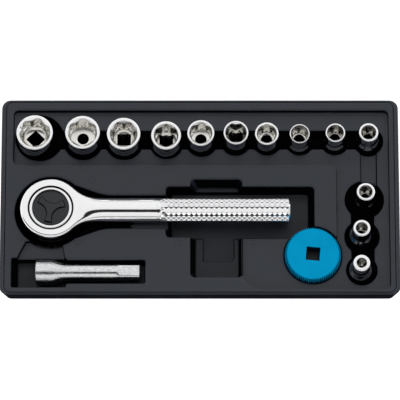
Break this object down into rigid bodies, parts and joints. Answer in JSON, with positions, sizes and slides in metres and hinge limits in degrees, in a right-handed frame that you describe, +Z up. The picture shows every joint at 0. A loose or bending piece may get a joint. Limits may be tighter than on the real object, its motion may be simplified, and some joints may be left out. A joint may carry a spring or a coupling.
{
  "type": "socket wrench set in case",
  "caption": "Shallow moulded tray case holding a round-head ratchet with knurled handle, hex sockets stood in wells, an extension bar and a toothed spinner disc.",
  "frame": {"origin": "centre of the case's base", "axes": "+X along the case to the right, +Y to its back edge, +Z up"},
  "size_m": [0.286, 0.146, 0.0312],
  "materials": {
    "case_plastic": "moulded, fine grain",
    "tray_plastic": "moulded, fine grain",
    "polished_chrome": "polished",
    "satin_chrome": "satin",
    "dark_steel": "oiled",
    "spring_steel": "drawn wire",
    "dial_plastic": "moulded",
    "blue_plastic": "moulded"
  },
  "bodies": {
    "case": {"case_shell": "case_plastic", "tool_tray": "tray_plastic"},
    "ratchet": {"ratchet_body": "polished_chrome", "retaining_ring": "dark_steel"},
    "drive": {"drive_core": "dark_steel", "cover_ring": "polished_chrome", "dial_ball": "polished_chrome", "dial_spring": "spring_steel", "drive_ball_spring": "spring_steel", "pawl_spring_engaged": "spring_steel", "pawl_spring_free": "spring_steel"},
    "dial": {"selector_dial": "dial_plastic"},
    "pawl_a": {"pawl_engaged": "dark_steel"},
    "pawl_b": {"pawl_free": "dark_steel"},
    "drive_ball": {"drive_ball": "polished_chrome"},
    "extension": {"extension_bar": "satin_chrome", "extension_ball_spring": "spring_steel"},
    "extension_ball": {"extension_ball": "polished_chrome"},
    "spinner": {"spinner_disc": "blue_plastic"},
    "socket_19": {"socket_19": "polished_chrome"},
    "socket_18": {"socket_18": "polished_chrome"},
    "socket_17": {"socket_17": "polished_chrome"},
    "socket_15": {"socket_15": "polished_chrome"},
    "socket_14": {"socket_14": "polished_chrome"},
    "socket_13": {"socket_13": "polished_chrome"},
    "socket_12": {"socket_12": "polished_chrome"},
    "socket_11": {"socket_11": "polished_chrome"},
    "socket_10": {"socket_10": "polished_chrome"},
    "socket_09": {"socket_09": "polished_chrome"},
    "socket_08": {"socket_08": "polished_chrome"},
    "socket_07": {"socket_07": "polished_chrome"},
    "socket_06": {"socket_06": "polished_chrome"}
  },
  "joints": [
    {"name": "lift_ratchet", "type": "slide", "parent": "case", "child": "ratchet", "axis": [0, 0, 1], "range_m": [0, 0.04]},
    {"name": "drive_spin", "type": "hinge", "parent": "ratchet", "child": "drive", "pos_m": [-0.1065, -0.0114, 0.0206], "axis": [0, 0, 1], "continuous": true},
    {"name": "dial_turn", "type": "hinge", "parent": "drive", "child": "dial", "pos_m": [-0.1065, -0.0114, 0.0206], "axis": [0, 0, 1], "range_deg": [0, 40]},
    {"name": "pawl_release", "type": "hinge", "parent": "drive", "child": "pawl_a", "pos_m": [-0.1125, -0.0014, 0.0206], "axis": [0, 0, 1], "range_deg": [-8, 0], "deforming": ["pawl_spring_engaged"]},
    {"name": "pawl_engage", "type": "hinge", "parent": "drive", "child": "pawl_b", "pos_m": [-0.1125, -0.0214, 0.0206], "axis": [0, 0, 1], "range_deg": [-8, 0], "deforming": ["pawl_spring_free"]},
    {"name": "drive_ball_press", "type": "slide", "parent": "drive", "child": "drive_ball", "axis": [-1, 0, 0], "range_m": [0, 0.0005], "stiffness_N_per_m": 100, "deforming": ["drive_ball_spring"]},
    {"name": "lift_extension", "type": "slide", "parent": "case", "child": "extension", "axis": [0, 0, 1], "range_m": [0, 0.04]},
    {"name": "extension_ball_press", "type": "slide", "parent": "extension", "child": "extension_ball", "axis": [0, -1, 0], "range_m": [0, 0.0005], "stiffness_N_per_m": 100, "deforming": ["extension_ball_spring"]},
    {"name": "lift_spinner", "type": "slide", "parent": "case", "child": "spinner", "axis": [0, 0, 1], "range_m": [0, 0.04]},
    {"name": "lift_socket_19", "type": "slide", "parent": "case", "child": "socket_19", "axis": [0, 0, 1], "range_m": [0, 0.04]},
    {"name": "lift_socket_18", "type": "slide", "parent": "case", "child": "socket_18", "axis": [0, 0, 1], "range_m": [0, 0.04]},
    {"name": "lift_socket_17", "type": "slide", "parent": "case", "child": "socket_17", "axis": [0, 0, 1], "range_m": [0, 0.04]},
    {"name": "lift_socket_15", "type": "slide", "parent": "case", "child": "socket_15", "axis": [0, 0, 1], "range_m": [0, 0.04]},
    {"name": "lift_socket_14", "type": "slide", "parent": "case", "child": "socket_14", "axis": [0, 0, 1], "range_m": [0, 0.04]},
    {"name": "lift_socket_13", "type": "slide", "parent": "case", "child": "socket_13", "axis": [0, 0, 1], "range_m": [0, 0.04]},
    {"name": "lift_socket_12", "type": "slide", "parent": "case", "child": "socket_12", "axis": [0, 0, 1], "range_m": [0, 0.04]},
    {"name": "lift_socket_11", "type": "slide", "parent": "case", "child": "socket_11", "axis": [0, 0, 1], "range_m": [0, 0.04]},
    {"name": "lift_socket_10", "type": "slide", "parent": "case", "child": "socket_10", "axis": [0, 0, 1], "range_m": [0, 0.04]},
    {"name": "lift_socket_09", "type": "slide", "parent": "case", "child": "socket_09", "axis": [0, 0, 1], "range_m": [0, 0.04]},
    {"name": "lift_socket_08", "type": "slide", "parent": "case", "child": "socket_08", "axis": [0, 0, 1], "range_m": [0, 0.04]},
    {"name": "lift_socket_07", "type": "slide", "parent": "case", "child": "socket_07", "axis": [0, 0, 1], "range_m": [0, 0.04]},
    {"name": "lift_socket_06", "type": "slide", "parent": "case", "child": "socket_06", "axis": [0, 0, 1], "range_m": [0, 0.04]}
  ],
  "couplings": [
    {"joint": "pawl_release", "follows": "dial_turn", "ratio": -0.2},
    {"joint": "pawl_engage", "follows": "dial_turn", "ratio": -0.2}
  ]
}
